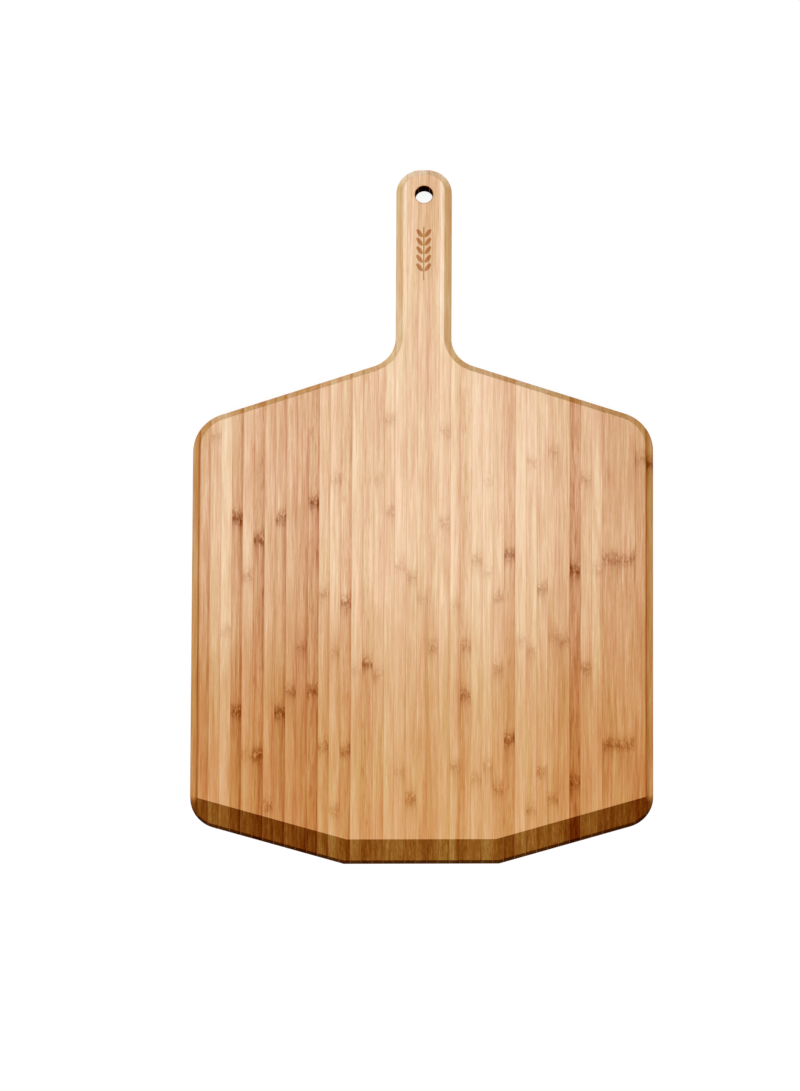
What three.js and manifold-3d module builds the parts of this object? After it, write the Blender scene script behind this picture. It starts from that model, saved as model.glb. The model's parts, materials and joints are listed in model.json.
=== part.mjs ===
// Bamboo pizza peel, edge-laminated from straight staves.
//
// Millimetres, +Z up. The peel lies flat with its underside on z = 0, its handle pointing to +Y and
// its thin front edge to -Y. The origin is under the middle of the whole outline.

import * as THREE from 'three';
import { mergeVertices } from 'three/addons/utils/BufferGeometryUtils.js';
import Module from 'manifold-3d';

// ---- Driving dimensions ---------------------------------------------------------------------

const LENGTH = 640;                 // front edge to the end of the handle
const WIDTH = 400;                  // across the blade
const THICKNESS = 13;
const EDGE_HEIGHT = 8.8;            // upright wall left all round below the bevels
const FOOT_EASE = 0.8;              // small chamfer round the underside

const STAVE_PITCH = 9.46;           // stave width, glue line to glue line
const GLUE_LINES = 42;              // glue lines across the blade before any stave is widened
const GLUE_GAP = 0.1;               // thickness of one glue line
const WIDE_STAVE = { first: 37, last: 39 };   // these three stave places hold one wide stave
const LONG_STAVES = { first: 18, last: 22 };  // these run on into the handle

const FRONT_FLAT = 134;             // straight middle of the front edge
const FRONT_SETBACK = 39.5;         // how far the front corners sit behind the front edge
const FRONT_CORNER_RADIUS = 28;
const FRONT_BEVEL_RUN = 18.2;       // width of the front bevel, measured square to the edge

const SHOULDER_FROM_FRONT = 403.6;  // where the shoulder's line meets the blade's side
const SHOULDER_SLOPE = THREE.MathUtils.degToRad(18.65);
const SHOULDER_RADIUS = 36;

const HANDLE_WIDTH = 48.4;
const HANDLE_FILLET_RADIUS = 28;    // hollow corner between handle and shoulder
const HANDLE_END_RADIUS = 21.5;

const HOLE_DIAMETER = 15.5;
const HOLE_FROM_END = 24.5;         // hole's centre to the end of the handle
const HOLE_EASE = 0.6;              // small chamfer at both mouths of the hole

const ARC_STEP = THREE.MathUtils.degToRad(6);   // turn of one facet on a rounded corner
const HOLE_FACETS = 48;
const CUT_MARGIN = 5;               // how far a cutting body reaches past what it cuts

// ---- Values that follow from them -----------------------------------------------------------

const FRONT_Y = -LENGTH / 2;
const END_Y = LENGTH / 2;
const SIDE_X = WIDTH / 2;
const GRIP_X = HANDLE_WIDTH / 2;
const EDGE_STAVE_WIDTH = (WIDTH - (GLUE_LINES - 1) * STAVE_PITCH) / 2;
const RIM_RUN = EDGE_STAVE_WIDTH;   // the rim bevel is as wide as the outermost stave
const BEVEL_DROP = THICKNESS - EDGE_HEIGHT;
const SHOULDER_Y = FRONT_Y + SHOULDER_FROM_FRONT;
const HANDLE_ROOT_Y = SHOULDER_Y + (SIDE_X - GRIP_X) * Math.tan(SHOULDER_SLOPE);
const HOLE_Y = END_Y - HOLE_FROM_END;

// ---- Solids ---------------------------------------------------------------------------------

const wasm = await Module();
wasm.setup();

function solidFrom(geometry) {
  const bare = geometry.index ? geometry.toNonIndexed() : geometry.clone();
  bare.deleteAttribute('normal');
  bare.deleteAttribute('uv');
  const welded = mergeVertices(bare, 1e-4);
  return new wasm.Manifold(new wasm.Mesh({
    numProp: 3,
    vertProperties: new Float32Array(welded.attributes.position.array),
    triVerts: new Uint32Array(welded.index.array),
  }));
}

function geometryFrom(solid) {
  const mesh = solid.getMesh();
  const geometry = new THREE.BufferGeometry();
  geometry.setAttribute('position', new THREE.BufferAttribute(mesh.vertProperties, 3));
  geometry.setIndex(new THREE.BufferAttribute(mesh.triVerts, 1));
  const faceted = geometry.toNonIndexed();
  faceted.computeVertexNormals();
  return faceted;
}

// ---- Outline --------------------------------------------------------------------------------

// Corners of the outline, anticlockwise from the left end of the straight front edge. Each has the
// radius it is rounded to; a fillet is rounded the other way, so its radius is negative.
function outlineCorners() {
  const rightSide = [
    { x: FRONT_FLAT / 2, y: FRONT_Y, radius: 0 },
    { x: SIDE_X, y: FRONT_Y + FRONT_SETBACK, radius: FRONT_CORNER_RADIUS },
    { x: SIDE_X, y: SHOULDER_Y, radius: SHOULDER_RADIUS },
    { x: GRIP_X, y: HANDLE_ROOT_Y, radius: -HANDLE_FILLET_RADIUS },
    { x: GRIP_X, y: END_Y, radius: HANDLE_END_RADIUS },
  ];
  const leftSide = rightSide.map(({ x, y, radius }) => ({ x: -x, y, radius })).reverse();
  return [...rightSide, ...leftSide];
}

// The outline moved inward by `inset`. Every call gives the same number of points in the same
// order, so two insets can be joined point to point.
function outlinePoints(inset) {
  const corners = outlineCorners();
  const points = [];
  corners.forEach((corner, i) => {
    const before = corners[(i + corners.length - 1) % corners.length];
    const after = corners[(i + 1) % corners.length];
    const at = new THREE.Vector2(corner.x, corner.y);
    const along = at.clone().sub(new THREE.Vector2(before.x, before.y)).normalize();
    const away = new THREE.Vector2(after.x, after.y).sub(at).normalize();
    const turn = Math.atan2(along.cross(away), along.dot(away));
    const inward = new THREE.Vector2(-along.y, along.x);
    const toCentre = Math.abs(corner.radius) * Math.tan(Math.abs(turn) / 2);
    const centre = at.clone().addScaledVector(along, -toCentre).addScaledVector(inward, corner.radius);
    const steps = corner.radius === 0 ? 0 : Math.ceil(Math.abs(turn) / ARC_STEP);
    if (steps === 0) {
      const reach = inset / Math.cos(turn / 2);
      points.push(inward.clone().rotateAround(new THREE.Vector2(), turn / 2).multiplyScalar(reach).add(at));
      return;
    }
    for (let step = 0; step <= steps; step += 1) {
      const spoke = inward.clone().rotateAround(new THREE.Vector2(), (turn * step) / steps);
      points.push(centre.clone().addScaledVector(spoke, inset - corner.radius));
    }
  });
  return points;
}

// A closed body through rings of matching points, each ring at its own height.
function loftBody(rings) {
  const count = rings[0].points.length;
  const position = rings.flatMap(({ points, z }) => points.flatMap(({ x, y }) => [x, y, z]));
  const index = [];
  for (let ring = 0; ring + 1 < rings.length; ring += 1) {
    for (let i = 0; i < count; i += 1) {
      const a = ring * count + i;
      const b = ring * count + ((i + 1) % count);
      index.push(a, b, b + count, a, b + count, a + count);
    }
  }
  const top = (rings.length - 1) * count;
  const capOf = (ring) => THREE.ShapeUtils.triangulateShape(ring.points, []);
  capOf(rings[0]).forEach(([a, b, c]) => index.push(a, c, b));
  capOf(rings[rings.length - 1]).forEach(([a, b, c]) => index.push(top + a, top + b, top + c));
  const geometry = new THREE.BufferGeometry();
  geometry.setAttribute('position', new THREE.Float32BufferAttribute(position, 3));
  geometry.setIndex(index);
  return geometry;
}

// ---- Cutting bodies -------------------------------------------------------------------------

// Clears everything above the sloping plane that rises from one straight stretch of the front edge.
function frontBevelCutter(from, to) {
  const reach = WIDTH + LENGTH;
  const rise = BEVEL_DROP / FRONT_BEVEL_RUN;
  const wedge = new THREE.Shape([
    new THREE.Vector2(-CUT_MARGIN, EDGE_HEIGHT - CUT_MARGIN * rise),
    new THREE.Vector2(FRONT_BEVEL_RUN + CUT_MARGIN, THICKNESS + CUT_MARGIN * rise),
    new THREE.Vector2(-CUT_MARGIN, THICKNESS + CUT_MARGIN),
  ]);
  const geometry = new THREE.ExtrudeGeometry(wedge, { depth: reach, bevelEnabled: false });
  // The wedge's x runs inward from the edge, its y is up, and its depth runs along the edge.
  const along = new THREE.Vector3(to.x - from.x, to.y - from.y, 0).normalize();
  const inward = new THREE.Vector3(-along.y, along.x, 0);
  const up = new THREE.Vector3(0, 0, 1);
  const placed = new THREE.Matrix4().makeBasis(inward, up, along);
  placed.setPosition((from.x + to.x) / 2, (from.y + to.y) / 2, 0);
  geometry.translate(0, 0, -reach / 2);
  geometry.applyMatrix4(placed);
  return geometry;
}

function holeCutter() {
  const radius = HOLE_DIAMETER / 2;
  const flare = radius + HOLE_EASE + CUT_MARGIN;
  const profile = [
    new THREE.Vector2(0, -CUT_MARGIN),
    new THREE.Vector2(flare, -CUT_MARGIN),
    new THREE.Vector2(radius, HOLE_EASE),
    new THREE.Vector2(radius, THICKNESS - HOLE_EASE),
    new THREE.Vector2(flare, THICKNESS + CUT_MARGIN),
    new THREE.Vector2(0, THICKNESS + CUT_MARGIN),
  ];
  const geometry = new THREE.LatheGeometry(profile, HOLE_FACETS);
  geometry.rotateX(Math.PI / 2);
  geometry.translate(0, HOLE_Y, 0);
  return geometry;
}

function slab(left, right, low, high) {
  const height = THICKNESS + 2 * CUT_MARGIN;
  const geometry = new THREE.BoxGeometry(right - left, high - low, height);
  geometry.translate((left + right) / 2, (low + high) / 2, THICKNESS / 2);
  return solidFrom(geometry);
}

// ---- The whole board, before it is divided into staves ---------------------------------------

function makeBoard() {
  const rings = [
    { points: outlinePoints(FOOT_EASE), z: 0 },
    { points: outlinePoints(0), z: FOOT_EASE },
    { points: outlinePoints(0), z: EDGE_HEIGHT },
    { points: outlinePoints(RIM_RUN), z: THICKNESS },
  ];
  const frontCorner = { x: SIDE_X, y: FRONT_Y + FRONT_SETBACK };
  const flatEnd = { x: FRONT_FLAT / 2, y: FRONT_Y };
  const mirrored = ({ x, y }) => ({ x: -x, y });
  const frontEdges = [
    [mirrored(frontCorner), mirrored(flatEnd)],
    [mirrored(flatEnd), flatEnd],
    [flatEnd, frontCorner],
  ];
  let board = solidFrom(loftBody(rings));
  frontEdges.forEach(([from, to]) => {
    board = board.subtract(solidFrom(frontBevelCutter(from, to)));
  });
  return board.subtract(solidFrom(holeCutter()));
}

// ---- Staves ---------------------------------------------------------------------------------

// Where glue line `line` lies. The lines beside the handle lie flush with its sides.
function glueLineX(line) {
  if (line === LONG_STAVES.first) return -GRIP_X;
  if (line === LONG_STAVES.last + 1) return GRIP_X;
  return (line - (GLUE_LINES - 1) / 2) * STAVE_PITCH;
}

const STAVE_COLOURS = [0xe0b684, 0xd6a670, 0xe6c192, 0xcf9a62, 0xdcae7a];
const WIDE_STAVE_COLOUR = 0xc99060;
const EDGE_STAVE_COLOUR = 0xc79c66;

function bambooMaterial(color) {
  return new THREE.MeshStandardMaterial({ color, roughness: 0.5, metalness: 0 });
}

const group = new THREE.Group();

function addStave(name, solid, color) {
  const mesh = new THREE.Mesh(geometryFrom(solid), bambooMaterial(color));
  mesh.name = name;
  group.add(mesh);
}

// A straight strip of the board between two glue lines; half of each glue line is left open.
function stripOf(board, left, right) {
  const strip = slab(left + GLUE_GAP / 2, right - GLUE_GAP / 2, FRONT_Y - CUT_MARGIN, END_Y + CUT_MARGIN);
  return board.intersect(strip);
}

function makeStaves(board) {
  const outside = SIDE_X + CUT_MARGIN;
  addStave('edge_stave_left', stripOf(board, -outside, glueLineX(0)), EDGE_STAVE_COLOUR);
  let number = 0;
  for (let place = 0; place < GLUE_LINES - 1; place += 1) {
    if (place === WIDE_STAVE.first) {
      const wide = stripOf(board, glueLineX(place), glueLineX(WIDE_STAVE.last + 1));
      addStave('wide_stave', wide, WIDE_STAVE_COLOUR);
      place = WIDE_STAVE.last;
      continue;
    }
    number += 1;
    const strip = stripOf(board, glueLineX(place), glueLineX(place + 1));
    const name = `stave_${String(number).padStart(2, '0')}`;
    const color = STAVE_COLOURS[(place * 3) % STAVE_COLOURS.length];
    // The hanging hole is wider than the middle stave and cuts it in two.
    const [body, tip] = strip.decompose().sort((a, b) => b.volume() - a.volume());
    addStave(name, body, color);
    if (tip) addStave(`${name}_tip`, tip, color);
  }
  addStave('edge_stave_right', stripOf(board, glueLineX(GLUE_LINES - 1), outside), EDGE_STAVE_COLOUR);
}

makeStaves(makeBoard());

export default group;
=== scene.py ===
# %% [markdown]
# # A bamboo pizza peel, stave by stave
#
# The peel on the bench is a board glued up from straight bamboo staves. Its blade has a long, low
# bevel at the front that slides under the dough, a narrow bevel round the rest of the rim, and a
# handle with a hanging hole. This lesson builds it in the order a joiner would: glue up a blank,
# shape its outline and bevels, bore the hole, and look closely at the bamboo.
#
# All lengths are in metres, the peel lies flat on z = 0, and the handle points to +Y. The packed
# frame says where everything goes, so the first cell loads it and reads the overall sizes.

# %% Load the frame
import json
import math

import bmesh
import bpy
from mathutils import Matrix, Vector


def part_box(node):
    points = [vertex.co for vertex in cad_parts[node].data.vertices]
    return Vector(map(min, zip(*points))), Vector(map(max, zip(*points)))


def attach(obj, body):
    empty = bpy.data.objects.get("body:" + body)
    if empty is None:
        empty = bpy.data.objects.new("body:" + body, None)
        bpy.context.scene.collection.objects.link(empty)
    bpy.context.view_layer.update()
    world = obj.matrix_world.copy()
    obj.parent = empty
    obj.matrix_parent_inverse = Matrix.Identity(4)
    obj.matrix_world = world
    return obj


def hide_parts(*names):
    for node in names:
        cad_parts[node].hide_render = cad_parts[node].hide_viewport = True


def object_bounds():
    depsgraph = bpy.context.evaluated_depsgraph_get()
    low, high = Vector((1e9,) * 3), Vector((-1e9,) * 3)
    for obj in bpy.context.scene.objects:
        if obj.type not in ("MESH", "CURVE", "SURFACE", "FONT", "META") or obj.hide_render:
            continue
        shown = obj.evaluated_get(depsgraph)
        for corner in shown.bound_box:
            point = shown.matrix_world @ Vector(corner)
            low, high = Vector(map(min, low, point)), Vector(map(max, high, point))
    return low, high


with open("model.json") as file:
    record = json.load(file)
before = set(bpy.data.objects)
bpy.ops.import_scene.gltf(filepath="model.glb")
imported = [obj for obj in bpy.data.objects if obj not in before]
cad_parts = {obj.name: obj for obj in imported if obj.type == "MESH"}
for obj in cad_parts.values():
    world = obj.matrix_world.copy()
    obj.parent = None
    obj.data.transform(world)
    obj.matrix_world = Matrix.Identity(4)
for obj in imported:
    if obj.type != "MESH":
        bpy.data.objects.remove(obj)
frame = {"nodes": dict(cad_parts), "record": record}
cad_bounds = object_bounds()
low, high = (Vector(corner) for corner in cad_bounds)
print("peel from", tuple(round(v, 4) for v in low), "to", tuple(round(v, 4) for v in high))

# %% [markdown]
# ## The sizes that shape the board
#
# The frame gives the length, width and thickness, and the boxes of single staves give the handle's
# width and the thickness of a glue line. What a box can't say is kept here as a joiner's notes: how
# far the corners are set back, how tightly they are rounded, and how wide the bevels are.

# %% Sizes
MM = 0.001
FRONT_Y, END_Y = low.y, high.y
SIDE_X = high.x
THICKNESS = high.z
GLUE_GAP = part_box("stave_24")[0].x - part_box("stave_23")[1].x
GRIP_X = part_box("stave_23")[1].x + GLUE_GAP / 2
EDGE_HEIGHT = 8.8 * MM
FRONT_FLAT = 134 * MM
FRONT_SETBACK = 39.5 * MM
FRONT_BEVEL_RUN = 18.2 * MM
SHOULDER_Y = FRONT_Y + 403.6 * MM
SHOULDER_SLOPE = math.radians(18.65)
RIM_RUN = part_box("edge_stave_left")[1].x - low.x + GLUE_GAP / 2
BEVEL_DROP = THICKNESS - EDGE_HEIGHT
HANDLE_ROOT_Y = SHOULDER_Y + (SIDE_X - GRIP_X) * math.tan(SHOULDER_SLOPE)
HOLE_RADIUS = 7.75 * MM
HOLE_Y = END_Y - 24.5 * MM
print("grip half width", round(GRIP_X, 5), "rim bevel", round(RIM_RUN, 5), "glue", round(GLUE_GAP, 5))

# %% [markdown]
# ## Camera
#
# A flat board is best seen from high above with a long lens, so that its sides stay nearly parallel.
# The camera stands on the front side, tilted about twenty degrees from straight down, which shows
# the front bevel and a sliver of the hanging hole's wall. Its place comes from an elevation, an
# azimuth and a distance, it leans a little to one side, and it slides to set the peel in the frame.
# The lens follows from the distance and the height of the view at the peel.


# %% Camera
def make_camera():
    elevation, azimuth, roll = math.radians(69.62), math.radians(-3.27), math.radians(3.22)
    distance = 15.7
    view_height = 0.94804
    slide_right, slide_up = -0.0199, -0.0252
    data = bpy.data.cameras.new("camera")
    data.lens = data.sensor_width * distance / view_height
    data.clip_end = 100
    camera = bpy.data.objects.new("camera", data)
    bpy.context.scene.collection.objects.link(camera)
    forward = Vector((math.sin(azimuth) * math.cos(elevation), math.cos(azimuth) * math.cos(elevation),
                      -math.sin(elevation)))
    right = Vector((math.cos(azimuth), -math.sin(azimuth), 0))
    up = right.cross(forward)
    leaned = Matrix.Rotation(roll, 3, forward)
    right, up = leaned @ right, leaned @ up
    turn = Matrix((right, up, -forward)).transposed()
    place = -forward * distance + right * slide_right + up * slide_up
    camera.matrix_world = Matrix.Translation(place) @ turn.to_4x4()
    bpy.context.scene.camera = camera
    return camera


camera = make_camera()
print("camera at", tuple(round(v, 3) for v in camera.location), "lens", round(camera.data.lens))

# %% [markdown]
# ## Floor and light
#
# The floor is plain and pale. It glows a little by itself, like a lit white sweep in a studio, so
# the board's own shadow stays faint. One softbox hangs beyond the handle, where the oiled face
# mirrors it towards the camera. That soft sheen is what makes the middle of the blade look paler
# than the front and the sides. A second, wide softbox fills in from the front, where the bevel faces.


# %% Floor and light
def make_floor():
    half, below = 30.0, 0.4 * MM
    mesh = bpy.data.meshes.new("floor")
    mesh.from_pydata([(-half, -half, -below), (half, -half, -below), (half, half, -below),
                      (-half, half, -below)], [], [(0, 1, 2, 3)])
    floor = bpy.data.objects.new("floor", mesh)
    bpy.context.scene.collection.objects.link(floor)
    material = bpy.data.materials.new("pale_floor")
    material.use_nodes = True
    shader = material.node_tree.nodes["Principled BSDF"]
    shader.inputs["Base Color"].default_value = (0.18, 0.18, 0.18, 1)
    shader.inputs["Roughness"].default_value = 0.9
    shader.inputs["Emission Color"].default_value = (1, 1, 1, 1)
    shader.inputs["Emission Strength"].default_value = 0.88
    mesh.materials.append(material)
    return floor


def make_softbox(name, place, aim, size, radiance):
    data = bpy.data.lights.new(name, "AREA")
    data.shape = "RECTANGLE"
    data.size, data.size_y = size
    data.energy = radiance * math.pi * size[0] * size[1]
    lamp = bpy.data.objects.new(name, data)
    bpy.context.scene.collection.objects.link(lamp)
    lamp.location = place
    lamp.rotation_euler = (Vector(aim) - Vector(place)).to_track_quat("-Z", "Y").to_euler()
    return lamp


def make_sky(strength):
    world = bpy.data.worlds.new("studio")
    world.use_nodes = True
    background = world.node_tree.nodes["Background"]
    background.inputs["Color"].default_value = (1, 1, 1, 1)
    background.inputs["Strength"].default_value = strength
    bpy.context.scene.world = world


make_floor()
make_softbox("sheen_box", (-0.035, 0.47, 0.8), (-0.035, 0.35, 0), (0.46, 0.58), 3.1)
make_softbox("front_fill", (0.03, -1.3, 1.1), (0, -0.2, 0), (1.8, 0.9), 5.25)
make_sky(0.32)
bpy.context.scene.view_settings.view_transform = "Standard"

# %% [markdown]
# ## Writing shader maths as Python
#
# Wiring nodes by hand hides the idea behind a material. The class below wraps a socket so that
# ordinary Python operators add Math nodes: `1 - mask * 0.5` becomes two nodes and their links. Every
# other kind of node comes from one method, which takes the node's type, its settings and its inputs.


# %% A socket that does arithmetic
class Value:
    """One number in a shader, as a socket that Python's operators work on."""

    def __init__(self, tree, socket):
        self.tree, self.socket = tree, socket

    def maths(self, operation, *others):
        node = self.tree.nodes.new("ShaderNodeMath")
        node.operation = operation
        for slot, value in zip(node.inputs, (self, *others)):
            plug(self.tree, slot, value)
        return Value(self.tree, node.outputs[0])

    def __add__(self, other):
        return self.maths("ADD", other)

    def __mul__(self, other):
        return self.maths("MULTIPLY", other)

    def __sub__(self, other):
        return self.maths("SUBTRACT", other)

    def __truediv__(self, other):
        return self.maths("DIVIDE", other)

    def __rsub__(self, other):
        return (self * -1) + other

    def __neg__(self):
        return self * -1

    def __abs__(self):
        return self.maths("ABSOLUTE")

    def __pow__(self, other):
        return self.maths("POWER", other)

    __radd__ = __add__

    def above(self, edge, soft):
        """0 below edge - soft, 1 above edge + soft, and smooth between."""
        node = self.tree.nodes.new("ShaderNodeMapRange")
        node.interpolation_type = "SMOOTHSTEP"
        for name, value in (("Value", self), ("From Min", edge - soft), ("From Max", edge + soft)):
            plug(self.tree, node.inputs[name], value)
        return Value(self.tree, node.outputs["Result"])

    def below(self, edge, soft):
        return 1 - self.above(edge, soft)

    def bump(self, width):
        """A soft hill, 1 where the value is 0 and falling to 0 over about twice the width."""
        return (-((self / width) ** 2)).maths("EXPONENT")

    def capped(self, most):
        return self.maths("MINIMUM", most)

    def at_least(self, least):
        return self.maths("MAXIMUM", least)


def plug(tree, slot, value):
    if isinstance(value, Value):
        tree.links.new(value.socket, slot)
    elif isinstance(value, bpy.types.NodeSocket):
        tree.links.new(value, slot)
    else:
        slot.default_value = value


class Shader:
    """A material's node tree, emptied but for its Principled shader."""

    def __init__(self, name):
        self.material = bpy.data.materials.new(name)
        self.material.use_nodes = True
        self.tree = self.material.node_tree
        self.surface = self.tree.nodes["Principled BSDF"]

    def node(self, kind, settings=None, **inputs):
        """Any node but Math. Settings are set first, then each input by its socket's name."""
        node = self.tree.nodes.new(kind)
        for key, value in (settings or {}).items():
            setattr(node, key, value)
        for name, value in inputs.items():
            slot = next(s for s in node.inputs if s.name.replace(" ", "_") == name and s.enabled)
            plug(self.tree, slot, value)
        return node

    def value(self, socket):
        return Value(self.tree, socket)

    def vector(self, x, y, z):
        return self.node("ShaderNodeCombineXYZ", X=x, Y=y, Z=z).outputs[0]

    def split(self, socket):
        node = self.node("ShaderNodeSeparateXYZ", Vector=socket)
        return [self.value(o) for o in node.outputs]

    def attribute(self, name):
        return self.node("ShaderNodeAttribute", {"attribute_name": name})

    def number(self, name):
        return self.value(self.attribute(name).outputs["Fac"])

    def triple(self, name):
        return self.split(self.attribute(name).outputs["Vector"])

    def noise(self, place, per_metre, detail=2.0, roughness=0.5):
        """Noise from about -0.5 to 0.5, with so many blotches in a metre along x, y and z."""
        stretched = self.vector(*(value * count for value, count in zip(place, per_metre)))
        node = self.node("ShaderNodeTexNoise", Vector=stretched, Scale=1.0, Detail=detail,
                         Roughness=roughness)
        return self.value(node.outputs["Fac"]) - 0.5

    def finish(self, **inputs):
        for name, value in inputs.items():
            plug(self.tree, self.surface.inputs[name.replace("_", " ")], value)
        return self.material


print("shader maths ready")

# %% [markdown]
# ## One number for bamboo's colour: its stain
#
# Bamboo has one family of colours, from straw to amber to burnt umber. Light that sinks into it is
# filtered the same way whatever the shade, only for longer, so each shade is the same amber raised
# to a power. That power is called the stain here: 0.7 is a pale stave, 1 an average one, 1.4 a brown
# one and 3 a scorch mark. Everything that darkens the bamboo just adds to the stain, and one colour
# ramp turns the sum into a colour.

# %% The stain ramp
AMBER = (0.62, 0.325, 0.12)
DARKEST_STAIN = 5.0
RAMP_STOPS = 16


def stain_colour(stain):
    return tuple(channel ** stain for channel in AMBER)


def stain_ramp(shader, stain):
    """The colour of a stain, through a ramp whose stops follow the filter law."""
    ramp = shader.node("ShaderNodeValToRGB", Fac=stain / DARKEST_STAIN)
    stops = ramp.color_ramp.elements
    for i in range(RAMP_STOPS):
        place = (i / (RAMP_STOPS - 1)) ** 1.6
        stop = stops[i] if i < 1 else (stops[-1] if i == RAMP_STOPS - 1 else stops.new(place))
        stop.position = place
        stop.color = (*stain_colour(place * DARKEST_STAIN), 1)
    return ramp.outputs["Color"]


print("pale, average and brown:", [tuple(round(c, 2) for c in stain_colour(s)) for s in (0.7, 1, 1.4)])

# %% [markdown]
# ## The bamboo itself
#
# A stave is a bundle of long fibres that run along Y. Patterns drawn in space and stretched along
# that axis look right on every cut: streaks on the face, long dashes on the shallow bevel, and dots
# on the end grain. Four noises are laid over each other, from the slow drift along a stave to hairs a
# third of a millimetre wide, and cells stretched the same way give the thin brown fibre bundles.

# %% Fibres
# blotches in a metre across, along and through the stave, then detail and share of the stain
STREAKS = {
    "drift": (60, 9, 40, 1.0, 0.35),
    "broad": (420, 17, 150, 2.0, 0.75),
    "fine": (1100, 34, 700, 2.0, 0.6),
    "hair": (3200, 150, 2600, 2.0, 0.4),
}


def fibre_stain(shader, x, y, z):
    layers = {name: shader.noise((x, y, z), row[:3], row[3]) for name, row in STREAKS.items()}
    cells = shader.node("ShaderNodeTexVoronoi", {"feature": "F1"}, Scale=1.0, Randomness=0.9,
                        Vector=shader.vector(x * 1150, y * 26, z * 1150))
    bundles = shader.value(cells.outputs["Distance"]).below(0.26, 0.12)
    stain = bundles * 0.12
    for name, layer in layers.items():
        stain = stain + layer * STREAKS[name][-1]
    height = layers["fine"] * 0.6 + layers["hair"] * 0.4 - bundles * 0.5
    return stain, height, bundles


print("streak widths in mm:", {name: round(1 / row[0] / MM, 1) for name, row in STREAKS.items()})

# %% [markdown]
# ## Nodes of the cane
#
# A node is where the growing cane had a joint. On a planed face it shows as a small knotty patch
# across the stave, brown with lighter glints in it, with a streaky tail that fades towards the front.
# Each stave brings along where its nodes lie and how strongly each is marked, as two attributes of
# three numbers. One could paint a map of them instead, but a place and a depth are easier to change.

# %% Node patch
PATCH_HALF_HEIGHT = 6.5 * MM
TAIL_LENGTH = 20 * MM
WAVER = 9 * MM


def node_stain(shader, x, y, z):
    """The stain of up to three nodes, whose places and depths the stave brings along."""
    centres = shader.triple("node_places")
    depths = shader.triple("node_depths")
    place = (x, y, z)
    waver = shader.noise(place, (130, 4, 90), 1.0) * WAVER
    knots = shader.noise(place, (330, 190, 200), 4.0, 0.75).above(-0.01, 0.14)
    comb = shader.noise(place, (420, 16, 300)).above(-0.02, 0.14)
    glints = shader.noise(place, (700, 330, 500), 3.0, 0.6).above(0.06, 0.08)
    total = None
    for centre, depth in zip(centres, depths):
        along = y - centre + waver
        patch = along.bump(PATCH_HALF_HEIGHT) * (knots * 0.78 + 0.34 - glints * 0.55)
        tail = along.below(0.0, 2 * MM) * (along / TAIL_LENGTH).capped(0.0).maths("EXPONENT")
        one = (patch + tail * comb * 0.5) * depth
        total = one if total is None else total + one
    return total


print("node patch height in mm:", 2 * PATCH_HALF_HEIGHT / MM)

# %% [markdown]
# ## Glue lines and the dense side
#
# Towards the cane's skin the fibre bundles crowd together, so one side of many staves is darker, and
# a little glue stains the fibres beside each joint. Both follow the place across the stave, which
# runs from 0 at its left glue line to 1 at its right one.

# %% Glue lines and the dense side
GLUE_STAIN_WIDTH = 0.35 * MM


def edge_stain(across, width, dense):
    left = (across * width).bump(GLUE_STAIN_WIDTH)
    right = ((1 - across) * width).bump(GLUE_STAIN_WIDTH)
    band = (across - 0.88).bump(0.08)
    return (left + right) * 0.14 + band * dense


print("glue stains", GLUE_STAIN_WIDTH / MM, "mm of a stave")

# %% [markdown]
# ## Cuts that change the colour
#
# The long front bevel slices the fibres at a shallow angle and drinks much more oil than the face,
# so it is several shades darker, and painted shade dims it further. Its slope gives it away: no other
# face leans towards -Y by just that much, and at the two front corners the same cut runs on round the
# rim. Real end grain, on the upright walls of the shoulders and the front, is darker too, and the
# front wall also carries painted shade. The crease where the side bevel meets the face is darker as
# well. Painted light and shade lie on the rims: the handle's left rim and the rims at its end are
# paler, the right rims greyer, and a painted highlight runs just inside the handle's rims. The wall of
# the hanging hole is painted nearly black, as painted shade inside the hole, and its mouth is a little
# darker.


# %% Bevel, end grain and bore
FACET_ANGLE = math.atan2(FRONT_SETBACK, SIDE_X - FRONT_FLAT / 2)
CORNER_REACH = 16 * MM
# How far from the middle the painted highlight on the handle's face lies.
GRIP_HIGHLIGHT_X = 15.5 * MM


def front_distance(x, y):
    """How far a point lies behind the slanted parts of the front edge."""
    sideways = (abs(x) - FRONT_FLAT / 2) * math.sin(FACET_ANGLE)
    return (y - FRONT_Y) * math.cos(FACET_ANGLE) - sideways


def cut_masks(shader, x, y):
    _, lean, up = shader.split(shader.node("ShaderNodeNewGeometry").outputs["True Normal"])
    rim = up.below(0.93, 0.03) * up.above(0.5, 0.1)
    corner = rim * front_distance(x, y).below(CORNER_REACH, 5 * MM)
    radius = (x * x + (y - HOLE_Y) * (y - HOLE_Y)).maths("SQRT")
    return {
        "rim": rim,
        "bevel": (-lean).above(0.15, 0.05).at_least(corner),
        "end_grain": abs(lean).above(0.75, 0.15),
        "front_wall": (-lean).above(0.5, 0.2),
        # The next mask places a painted highlight on the handle's face, just inside its rims.
        "grip_highlight": (abs(x) - GRIP_HIGHLIGHT_X).bump(2 * MM) * y.above(0.17, 0.04) * up.above(0.9, 0.05),
        "back_rim": rim * lean.above(0.2, 0.15),
        "crease": (abs(x) - SIDE_X + RIM_RUN).bump(1.1 * MM) * up.above(0.5, 0.1),
        "bore": radius.below(HOLE_RADIUS + 0.15 * MM, 0.1 * MM),
        "hole_mouth": radius.below(HOLE_RADIUS + 0.9 * MM, 0.7 * MM),
    }


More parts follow.
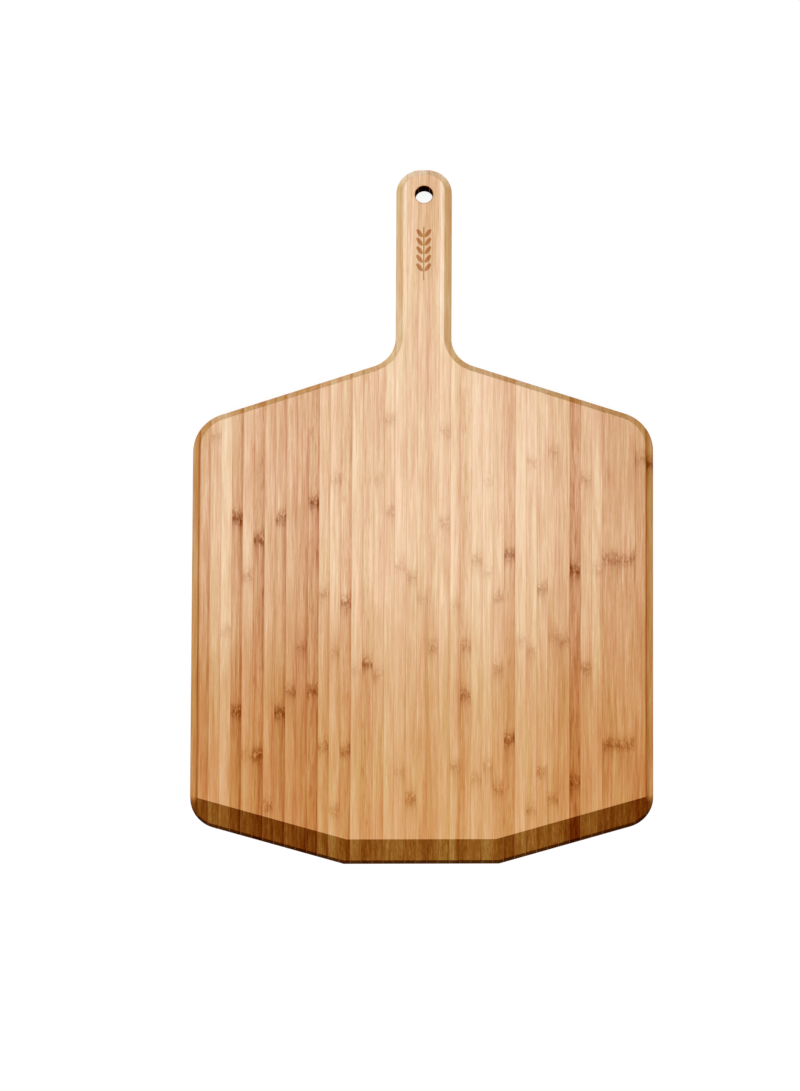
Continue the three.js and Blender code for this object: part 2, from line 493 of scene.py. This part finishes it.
def cut_stain(cut, x, y):
    right_side = x.above(0.0, 10 * MM)
    # Painted light on the rims: they are made paler on the handle's left side most of all, at the
    # handle's end and on the right side, and a painted highlight lies just inside the handle's rims.
    handle_rim_sidelight = y.above(0.10, 0.06) * ((1 - right_side) * 0.25 - 0.08)
    handle_end = y.above(END_Y - 12 * MM, 8 * MM) * 0.32
    painted_light = cut["rim"] * (handle_rim_sidelight + handle_end + right_side * 0.12) + cut["grip_highlight"] * 0.32
    dark = cut["bevel"] * 0.85 + cut["end_grain"] * 0.15 + cut["front_wall"] * 0.4 + cut["crease"] * 0.5
    # The nearly black wall of the hole is painted shade; the mouth round it is a little darker.
    return dark - painted_light + cut["bore"] * 2.2 + cut["hole_mouth"] * 0.25


print("front facets slant", round(math.degrees(FACET_ANGLE), 1), "degrees")


# %% [markdown]
# ## A burnt mark on the handle
#
# Makers burn a small sign into the handle. This one is a plain ear of wheat: a stalk with pairs of
# grains, drawn with nothing but distances. The grains repeat along the stalk, so one grain is drawn
# and its pattern is wrapped.

# %% Ear of wheat
MARK_Y = END_Y - 80 * MM
GRAIN_PITCH = 8 * MM
GRAIN_ROWS = 5
GRAIN_X = 3.6 * MM
GRAIN_HALF_WIDTH, GRAIN_HALF_HEIGHT = 2.9 * MM, 2.7 * MM
STALK_HALF_WIDTH = 0.55 * MM


def mark_mask(x, y, z):
    side = abs(x)
    climb = y - MARK_Y - side * 0.9
    wrapped = ((climb / GRAIN_PITCH + 0.5).maths("FRACT") - 0.5) * GRAIN_PITCH
    grain = ((side - GRAIN_X) / GRAIN_HALF_WIDTH) ** 2 + (wrapped / GRAIN_HALF_HEIGHT) ** 2
    reach = GRAIN_ROWS * GRAIN_PITCH / 2
    grains = grain.below(1.0, 0.15) * abs(climb).below(reach, 0.1 * MM)
    stalk = side.below(STALK_HALF_WIDTH, 0.15 * MM) * abs(y - MARK_Y).below(reach + 5 * MM, 0.3 * MM)
    return grains.at_least(stalk) * z.above(THICKNESS - 0.3 * MM, 0.1 * MM)


print("mark is", round((GRAIN_ROWS * GRAIN_PITCH + 10 * MM) / MM), "mm long")

# %% [markdown]
# ## The oiled bamboo material
#
# The parts come together here. The stain goes through the ramp to the base colour, the fibres lift
# the surface by hundredths of a millimetre, and the cut faces are rougher than the sanded one.
# Painted shade dims the bevel, the front wall, the hole's wall and the right rims, the cane nodes are
# dimmed to a browner tone, and painted light brightens the rims on the shoulders and at the handle's
# end. A thin coat stands for the oil. The four finishes differ only in how dark their flecks are. Each
# stave's seed shifts every pattern, so that no two staves carry the same grain.


# %% Oiled bamboo
SEED_SHIFT_X, SEED_SHIFT_Y = 3.7, 5.1


def tinted(shader, colour, tint, light):
    """The colour times a tint, times how much light it gives back."""
    scaled = shader.node("ShaderNodeVectorMath", {"operation": "SCALE"}, Vector=tint, Scale=light)
    mix = shader.node("ShaderNodeMix", {"data_type": "RGBA", "blend_type": "MULTIPLY"})
    for slot, value in zip((s for s in mix.inputs if s.enabled), (1.0, colour, scaled.outputs[0])):
        plug(shader.tree, slot, value)
    return next(s for s in mix.outputs if s.enabled)


def oiled_bamboo(name, fleck):
    shader = Shader(name)
    x, y, z = shader.split(shader.node("ShaderNodeTexCoord").outputs["Object"])
    seed, width = shader.number("stave_seed"), shader.number("stave_width")
    across = (x - shader.number("stave_left")) / width
    shifted = x + seed * SEED_SHIFT_X
    fibres, height, bundles = fibre_stain(shader, shifted, y + seed * SEED_SHIFT_Y, z + seed)
    nodes = node_stain(shader, shifted, y, z)
    left, right = shader.number("stain_left"), shader.number("stain_right")
    patchy = shader.noise((shifted, y, 5.0), (90, 14, 1), 1.0) + 0.6
    dense = (right - left).at_least(0.0) * patchy * 1.05
    specks = shader.noise((shifted, y, z), (520, 60, 300)).above(0.13, 0.08)
    local = fibres + edge_stain(across, width, dense) + nodes * 0.62 + specks * fleck

    cut = cut_masks(shader, x, y)
    mark = mark_mask(x, y, z)
    # Painted shade: the blade is stained darker towards its front edge.
    front = y.below(-0.14, 0.14) * 0.16
    # The bevel's deeper stain is soaked-in oil; the dimming it gets further down is painted shade.
    oiled_and_shaded_bevel = cut["bevel"]
    tone = left + (right - left) * across.above(0.6, 0.4)
    body = tone * (1 + front + local * (1 + oiled_and_shaded_bevel * 0.15))
    thirst = shader.noise((shifted, y, 8.0), (70, 8, 1), 0.0) * 0.75
    soaked = oiled_and_shaded_bevel * ((body - 0.95) * 0.8 + thirst)
    stain = body + soaked + cut_stain(cut, x, y) + mark * 0.7 + bundles * cut["end_grain"] * 0.5
    stain = stain.at_least(0.05)

    # Painted shade dims the bevel, the front wall, the hole's wall and the right rims; the cane nodes are
    # dimmed to a browner tone.
    knot_tone_and_painted_shade = (oiled_and_shaded_bevel * 0.36 + cut["front_wall"] * 0.42 + cut["bore"] * 0.8 + nodes * 0.16
            + cut["rim"] * x.above(0.0, 10 * MM) * 0.1).capped(0.9)
    light = (1 - knot_tone_and_painted_shade) * (1 - (stain - 1.4).at_least(0.0).capped(1.0) * 0.2)
    # Painted light: rims leaning towards +Y, on the shoulders and at the handle's end, are brightened.
    light = light * (1 + cut["back_rim"] * 0.2)
    warm = shader.noise((shifted, y, z), (300, 10, 60), 1.0)
    tint = shader.vector(1 + warm * 0.10 - oiled_and_shaded_bevel * 0.10, 1 - warm * 0.16 + oiled_and_shaded_bevel * 0.08,
                         1 + warm * 0.22 - oiled_and_shaded_bevel * 0.12)
    colour = tinted(shader, stain_ramp(shader, stain), tint, light)
    rough = 0.36 + height * 0.06 + (oiled_and_shaded_bevel + cut["end_grain"] + mark) * 0.2 + cut["bore"] * 0.3
    bump = shader.node("ShaderNodeBump", Strength=0.25, Distance=0.08 * MM,
                       Height=height - mark * 2 - nodes * 0.4)
    gloss = (1 - (stain - 0.75).at_least(0.0) * 0.7 - cut["rim"] * 0.7 - oiled_and_shaded_bevel * 0.3 - cut["bore"]
             - cut["end_grain"] * 0.3 - y.above(0.2, 0.08) * 0.22)
    return shader.finish(Base_Color=colour, Roughness=rough.capped(0.95), Normal=bump.outputs[0],
                         Coat_Weight=gloss.at_least(0.0), Coat_Roughness=0.2, Coat_IOR=1.75,
                         Specular_IOR_Level=0.0)


BAMBOOS = {
    "bamboo_light": oiled_bamboo("light_bamboo", 0.06),
    "bamboo_brown": oiled_bamboo("brown_bamboo", 0.2),
    "bamboo_wide": oiled_bamboo("wide_bamboo", 0.10),
    "bamboo_edge": oiled_bamboo("edge_bamboo", 0.05),
}
print("materials:", sorted(BAMBOOS))

# %% [markdown]
# ## Outline of the board
#
# The outline has ten corners. Each is rounded to its own radius, and the hollow ones where the
# handle meets the shoulders count as negative radii. The same function moves the outline inward by
# any inset and always returns matching points, so a bevel is just two outlines at two heights.

# %% Outline
ARC_STEP = math.radians(2.0)


def outline_corners():
    right_side = [
        (FRONT_FLAT / 2, FRONT_Y, 0.0),
        (SIDE_X, FRONT_Y + FRONT_SETBACK, 28 * MM),
        (SIDE_X, SHOULDER_Y, 36 * MM),
        (GRIP_X, HANDLE_ROOT_Y, -28 * MM),
        (GRIP_X, END_Y, 21.5 * MM),
    ]
    return right_side + [(-x, y, radius) for x, y, radius in reversed(right_side)]


def turned(vector, angle):
    return Matrix.Rotation(angle, 2) @ vector


def outline(inset):
    corners = outline_corners()
    points = []
    for i, (x, y, radius) in enumerate(corners):
        at = Vector((x, y))
        along = (at - Vector(corners[i - 1][:2])).normalized()
        away = (Vector(corners[(i + 1) % len(corners)][:2]) - at).normalized()
        turn = math.atan2(along.x * away.y - along.y * away.x, along.dot(away))
        inward = Vector((-along.y, along.x))
        if radius == 0:
            points.append(at + turned(inward, turn / 2) * (inset / math.cos(turn / 2)))
            continue
        centre = at - along * abs(radius) * math.tan(abs(turn) / 2) + inward * radius
        steps = math.ceil(abs(turn) / ARC_STEP)
        points += [centre + turned(inward, turn * s / steps) * (inset - radius) for s in range(steps + 1)]
    return points


print("outline points:", len(outline(0)))

# %% [markdown]
# ## The blank
#
# Seen from the side, the rim goes up the wall, bends in along the bevel and bends again to the flat
# top. Nothing made of wood has a perfectly sharp edge, so each bend is rounded with a small radius.
# The blank is the stack of outlines that follows this rounded profile, closed above and below.


# %% Rim profile and blank
def rounded_profile(corners, steps=4):
    """Points along a broken line of (x, y, radius) corners, with an arc at each inner corner."""
    points = [Vector(corners[0][:2])]
    for before, (x, y, radius), after in zip(corners, corners[1:], corners[2:]):
        at = Vector((x, y))
        to_before = (Vector(before[:2]) - at).normalized()
        to_after = (Vector(after[:2]) - at).normalized()
        half = to_before.angle(to_after) / 2
        centre = at + (to_before + to_after).normalized() * (radius / math.sin(half))
        first = at + to_before * (radius / math.tan(half)) - centre
        last = at + to_after * (radius / math.tan(half)) - centre
        sweep = first.angle_signed(last)
        points += [centre + turned(first, -sweep * s / steps) for s in range(steps + 1)]
    return points + [Vector(corners[-1][:2])]


FOOT_RADIUS, EDGE_RADIUS, TOP_RADIUS = 0.8 * MM, 0.7 * MM, 0.8 * MM
RIM_PROFILE = rounded_profile([
    (3 * MM, 0, 0),
    (0, 0, FOOT_RADIUS),
    (0, EDGE_HEIGHT, EDGE_RADIUS),
    (RIM_RUN, THICKNESS, TOP_RADIUS),
    (RIM_RUN + 2 * MM, THICKNESS, 0),
])


def new_object(name, mesh):
    made = bpy.data.objects.new(name, mesh)
    bpy.context.scene.collection.objects.link(made)
    return made


def stack_rings(name, rings):
    """A closed mesh through rings of matching 3-D points, first and last ring capped."""
    count = len(rings[0])
    faces = [(r * count + i, r * count + (i + 1) % count, (r + 1) * count + (i + 1) % count,
              (r + 1) * count + i) for r in range(len(rings) - 1) for i in range(count)]
    faces.append(tuple(reversed(range(count))))
    faces.append(tuple(range((len(rings) - 1) * count, len(rings) * count)))
    mesh = bpy.data.meshes.new(name)
    mesh.from_pydata([tuple(p) for ring in rings for p in ring], [], faces)
    return new_object(name, mesh)


def make_blank():
    rings = [[(p.x, p.y, height) for p in outline(inset)] for inset, height in RIM_PROFILE]
    return stack_rings("blank", rings)


blank = make_blank()
print("blank has", len(blank.data.polygons), "faces")

# %% [markdown]
# ## Cutters for the front bevel and the hole
#
# The front bevel is planed along each of the three straight stretches of the front edge. Its cutter
# is a long bar whose underside is the bevel's own profile, with a rounded nose so that the front
# edge isn't a knife. The hole's cutter is a spool: a straight bore that flares at both mouths.


# %% Bevel cutters
BEVEL_TOP_RADIUS = 3 * MM


def bevel_cutter(name, start, end):
    reach, spare = 0.6, 6 * MM
    rise = BEVEL_DROP / FRONT_BEVEL_RUN
    beyond = FRONT_BEVEL_RUN + spare
    nose = rounded_profile([
        (0, EDGE_HEIGHT - 2 * MM, 0),
        (0, EDGE_HEIGHT, EDGE_RADIUS),
        (FRONT_BEVEL_RUN, THICKNESS, BEVEL_TOP_RADIUS),
        (beyond, THICKNESS, 0),
    ])[1:-1]
    back = nose[-1].x
    section = [Vector((-spare, nose[0].y)), *nose, Vector((back + 1 * MM, THICKNESS + spare * rise)),
               Vector((back, THICKNESS + spare)), Vector((-spare, THICKNESS + spare))]
    along = (Vector(end) - Vector(start)).normalized()
    inward = Vector((-along.y, along.x))
    middle = (Vector(start) + Vector(end)) / 2
    rings = []
    for offset in (-reach, reach):
        base = middle + along * offset
        rings.append([(*(base + inward * p.x), p.y) for p in section])
    return stack_rings(name, rings)


def hole_cutter():
    flare, spare, sides = 0.7 * MM, 4 * MM, 96
    profile = rounded_profile([
        (HOLE_RADIUS + flare + spare, 0, 0),
        (HOLE_RADIUS, 0, flare),
        (HOLE_RADIUS, THICKNESS, flare),
        (HOLE_RADIUS + flare + spare, THICKNESS, 0),
    ])[1:-1]
    outer = HOLE_RADIUS + flare
    profile = [Vector((outer, -spare)), *profile, Vector((outer, THICKNESS + spare))]
    angles = [math.tau * i / sides for i in range(sides)]
    rings = [[(p.x * math.cos(a), HOLE_Y + p.x * math.sin(a), p.y) for a in angles] for p in profile]
    return stack_rings("hole_cutter", rings)


def cut_away(target, cutters):
    for cutter in cutters:
        carve = target.modifiers.new(cutter.name, "BOOLEAN")
        carve.operation, carve.solver, carve.object = "DIFFERENCE", "EXACT", cutter
    bpy.context.view_layer.update()
    seen = target.evaluated_get(bpy.context.evaluated_depsgraph_get())
    shaped = bpy.data.meshes.new_from_object(seen)
    target.modifiers.clear()
    target.data = shaped
    for cutter in cutters:
        bpy.data.objects.remove(cutter)


flat_end = (FRONT_FLAT / 2, FRONT_Y)
front_corner = (SIDE_X, FRONT_Y + FRONT_SETBACK)
mirrored = [(-x, y) for x, y in (flat_end, front_corner)]
front_edges = [(mirrored[1], mirrored[0]), (mirrored[0], flat_end), (flat_end, front_corner)]
cutters = [bevel_cutter(f"bevel_cutter_{i}", a, b) for i, (a, b) in enumerate(front_edges)]
cut_away(blank, [*cutters, hole_cutter()])
print("shaped board has", len(blank.data.polygons), "faces")

# %% [markdown]
# ## A rip saw made of nodes
#
# Every stave is the same cut made at another place: keep what lies between two glue lines. That is a
# small Geometry Nodes tree. The shaped board comes in, a box as wide as the stave is crossed with
# it, and the stave's own numbers are stored on the result as attributes for the material.


# %% The rip-saw tree
def rip_saw_tree():
    tree = bpy.data.node_groups.new("rip_saw", "GeometryNodeTree")
    interface = tree.interface
    interface.new_socket("Board", in_out="INPUT", socket_type="NodeSocketGeometry")
    numbers = ("Left", "Right", "Low", "High", "Stave Left", "Stave Width", "Stave Seed", "Stain Left",
               "Stain Right")
    for name in numbers:
        interface.new_socket(name, in_out="INPUT", socket_type="NodeSocketFloat")
    for name in ("Node Places", "Node Depths"):
        interface.new_socket(name, in_out="INPUT", socket_type="NodeSocketVector")
    interface.new_socket("Finish", in_out="INPUT", socket_type="NodeSocketMaterial")
    interface.new_socket("Stave", in_out="OUTPUT", socket_type="NodeSocketGeometry")
    nodes, links = tree.nodes, tree.links
    given = nodes.new("NodeGroupInput").outputs

    def add(kind, **settings):
        node = nodes.new(kind)
        for key, value in settings.items():
            setattr(node, key, value)
        return node

    size, centre = add("ShaderNodeCombineXYZ"), add("ShaderNodeCombineXYZ")
    for axis, (first, second) in enumerate((("Left", "Right"), ("Low", "High"))):
        start, end = Value(tree, given[first]), Value(tree, given[second])
        plug(tree, size.inputs[axis], end - start)
        plug(tree, centre.inputs[axis], (start + end) * 0.5)
    size.inputs[2].default_value = THICKNESS * 3
    centre.inputs[2].default_value = THICKNESS / 2
    box = add("GeometryNodeMeshCube")
    links.new(size.outputs[0], box.inputs["Size"])
    placed = add("GeometryNodeTransform")
    links.new(box.outputs["Mesh"], placed.inputs["Geometry"])
    links.new(centre.outputs[0], placed.inputs["Translation"])
    crossed = add("GeometryNodeMeshBoolean", operation="INTERSECT", solver="EXACT")
    links.new(given["Board"], crossed.inputs["Mesh 2"])
    links.new(placed.outputs["Geometry"], crossed.inputs["Mesh 2"])
    piece = crossed.outputs["Mesh"]
    stored = {name: "FLOAT" for name in numbers[4:]} | {"Node Places": "FLOAT_VECTOR",
                                                          "Node Depths": "FLOAT_VECTOR"}
    for name, data_type in stored.items():
        store = add("GeometryNodeStoreNamedAttribute", data_type=data_type, domain="POINT")
        store.inputs["Name"].default_value = name.lower().replace(" ", "_")
        links.new(piece, store.inputs["Geometry"])
        links.new(given[name], next(s for s in store.inputs if s.name == "Value" and s.enabled))
        piece = store.outputs["Geometry"]
    real = add("GeometryNodeRealizeInstances")
    links.new(piece, real.inputs["Geometry"])
    finish = add("GeometryNodeSetMaterial")
    links.new(real.outputs["Geometry"], finish.inputs["Geometry"])
    links.new(given["Finish"], finish.inputs["Material"])
    links.new(finish.outputs["Geometry"], nodes.new("NodeGroupOutput").inputs["Stave"])
    return tree


RIP_SAW = rip_saw_tree()
SAW_SOCKETS = {item.name: item.identifier for item in RIP_SAW.interface.items_tree
               if item.in_out == "INPUT"}


def rip(name, **numbers):
    """One piece of the board, sawn out by the tree and turned into a plain mesh."""
    work = new_object(name, blank.data)
    saw = work.modifiers.new("rip_saw", "NODES")
    saw.node_group = RIP_SAW
    for key, value in numbers.items():
        saw[SAW_SOCKETS[key.replace("_", " ")]] = value
    bpy.context.view_layer.update()
    seen = work.evaluated_get(bpy.context.evaluated_depsgraph_get())
    mesh = bpy.data.meshes.new_from_object(seen)
    work.modifiers.clear()
    work.data = mesh
    mesh.name = name
    return work


print("rip saw takes", list(SAW_SOCKETS))

# %% [markdown]
# ## The staves, left to right
#
# No two staves came from the same cane, so each has a line of its own here: the stain of its left
# and right sides, then its nodes, each with how strongly it is marked. A node's place is noted as a
# joiner would with a ruler, to the nearest half centimetre from the front edge. The list is the
# board's glue-up, read from the left.

# %% Glue-up list
CM = 10 * MM
EDGE_LEFT = (1.00, 1.10, {})
EDGE_RIGHT = (1.26, 1.20, {36.5: 0.9})
WIDE = (1.12, 1.06, {27.5: 0.75, 10.5: 0.75})
STAVES = [
    (1.05, 1.20, {}),
    (0.93, 0.92, {39: 0.45}),
    (0.74, 0.82, {21: 0.35}),
    (1.10, 1.34, {31.5: 1.0, 13.5: 1.0}),
    (0.94, 1.02, {26: 0.45, 9.5: 0.35}),
    (1.18, 1.32, {29.5: 0.95, 9.5: 1.0}),
    (0.98, 1.10, {5: 0.6}),
    (1.06, 1.22, {31.5: 1.0, 13.5: 1.1}),
    (1.00, 1.14, {15.5: 0.6}),
    (1.12, 1.28, {19.5: 0.4}),
    (1.16, 1.32, {33: 0.85, 15.5: 0.95}),
    (0.90, 1.06, {24.5: 0.5, 10.5: 0.6}),
    (0.80, 0.96, {35: 0.4, 19: 0.35, 4.5: 0.5}),
    (0.98, 1.14, {23.5: 0.9, 10: 0.9}),
    (0.78, 0.90, {17.5: 0.3}),
    (1.02, 0.90, {18: 1.0}),
    (0.90, 0.94, {35: 0.3, 17: 0.4}),
    (0.80, 0.84, {40.5: 0.5, 32: 0.6}),
    (0.76, 0.86, {27: 0.4, 8: 0.4}),
    (0.86, 0.86, {26: 0.5, 5.5: 0.8}),
    (0.84, 0.96, {24: 0.35}),
    (0.98, 0.84, {19.5: 0.6}),
    (0.80, 0.90, {39.5: 0.4, 31: 0.6}),
    (0.74, 0.98, {23.5: 0.3, 8.5: 0.6}),
    (1.00, 0.82, {19.5: 0.6, 15: 1.0}),
    (0.74, 0.82, {27.5: 0.6, 7.5: 0.5}),
    (0.74, 0.82, {35: 0.3, 26.5: 0.3, 8.5: 0.5}),
    (0.88, 0.90, {24: 0.6, 17.5: 0.6, 6.5: 0.6}),
    (1.04, 1.08, {28: 1.0, 11: 1.0}),
    (0.80, 0.72, {20: 0.3}),
    (0.86, 0.76, {36.5: 0.4, 19: 0.5, 4.5: 0.5}),
    (0.92, 0.84, {25: 0.8, 8: 0.8}),
    (0.96, 0.98, {37.5: 0.4, 20.5: 0.4, 5.5: 0.5}),
    (1.04, 0.98, {20: 0.6}),
    (1.44, 1.28, {26.5: 0.8, 7: 0.8}),
    (1.00, 0.97, {35: 0.5, 17.5: 0.6}),
    (0.88, 0.98, {26.5: 0.35}),
    (1.14, 1.10, {37: 0.5}),
]


SAW_MARGIN = 5 * MM
NOWHERE = -9.0
NODES_AT_MOST = 3
SEED_SPREAD = 531.7


def stave_numbers(node, left, right, nodes):
    """What the rip saw needs for one CAD node: its box's sides and its own looks."""
    corner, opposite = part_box(node)
    spare = NODES_AT_MOST - len(nodes)
    places = [FRONT_Y + place * CM for place in nodes] + [NOWHERE] * spare
    depths = [float(depth) for depth in nodes.values()] + [0.0] * spare
    # the fraction left over is a seed from 0 to 1 that differs from stave to stave
    seed = (corner.x * SEED_SPREAD) % 1.0
    return {
        "Left": corner.x, "Right": opposite.x,
        "Low": corner.y - SAW_MARGIN, "High": opposite.y + SAW_MARGIN,
        "Stave_Left": corner.x, "Stave_Width": opposite.x - corner.x, "Stave_Seed": seed,
        "Stain_Left": left, "Stain_Right": right, "Node_Places": places, "Node_Depths": depths,
    }


def glue_up():
    """(CAD node, its looks) for every stave, left to right."""
    rows = [(f"stave_{i:02d}", looks) for i, looks in enumerate(STAVES, 1)]
    rows.append(("stave_21_tip", STAVES[20]))
    rows.append(("wide_stave", WIDE))
    return [("edge_stave_left", EDGE_LEFT), *rows, ("edge_stave_right", EDGE_RIGHT)]


print("staves in the glue-up:", len(glue_up()))

# %% [markdown]
# ## Sawing the staves
#
# The loop saws one detailed stave for each CAD stave, gives it the finish that the record names, and
# lets it stand in for the CAD solid. The middle stave stops at the hanging hole, and its short tip
# beyond the hole is sawn as a piece of its own.

# %% Saw every stave
SLOT_OF = {row["node"]: row["material_slot"] for row in frame["record"]["subparts"]}


def mount(piece, node):
    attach(piece, "root")
    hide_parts(node)


faces = 0
for node, (left, right, nodes) in glue_up():
    numbers = stave_numbers(node, left, right, nodes)
    if node == "stave_21":
        numbers["High"] = HOLE_Y
    if node == "stave_21_tip":
        numbers["Low"] = HOLE_Y
    if node == "edge_stave_left":
        numbers["Left"] -= SAW_MARGIN
    if node == "edge_stave_right":
        numbers["Right"] += SAW_MARGIN
    stave = rip(f"{node}_bamboo", Finish=BAMBOOS[SLOT_OF[node]], **numbers)
    mount(stave, node)
    faces += len(stave.data.polygons)
print("staves:", len(glue_up()), "faces:", faces)

# %% [markdown]
# ## Glue
#
# Between two staves lies a film of hardened glue, a tenth of a millimetre thick. It fills the gap
# that the CAD leaves and shows as a fine brown line. The same saw cuts each film from the board.


# %% Glue films
def glue_material():
    shader = Shader("hard_glue")
    x, y, z = shader.split(shader.node("ShaderNodeTexCoord").outputs["Object"])
    mottle = shader.noise((x, y, z), (300, 90, 300))
    colour = stain_ramp(shader, 1.9 + mottle * 0.8)
    return shader.finish(Base_Color=colour, Roughness=0.45 + mottle * 0.2)


def glue_lines():
    lefts = sorted(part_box(node)[0].x for node in frame["nodes"] if not node.endswith("_tip"))
    return [x - GLUE_GAP / 2 for x in lefts[1:]]


def make_glue():
    finish = glue_material()
    films = [rip(f"glue_{i}", Left=x - GLUE_GAP / 2, Right=x + GLUE_GAP / 2,
                 Low=FRONT_Y - SAW_MARGIN, High=END_Y + SAW_MARGIN, Finish=finish)
             for i, x in enumerate(glue_lines())]
    joined = bmesh.new()
    for film in films:
        joined.from_mesh(film.data)
        bpy.data.objects.remove(film)
    mesh = bpy.data.meshes.new("glue_films")
    joined.to_mesh(mesh)
    joined.free()
    mesh.materials.append(finish)
    glue = new_object("glue_films", mesh)
    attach(glue, "root")
    return glue


glue = make_glue()
bpy.data.objects.remove(blank)
print("glue films:", len(glue_lines()), "faces:", len(glue.data.polygons))
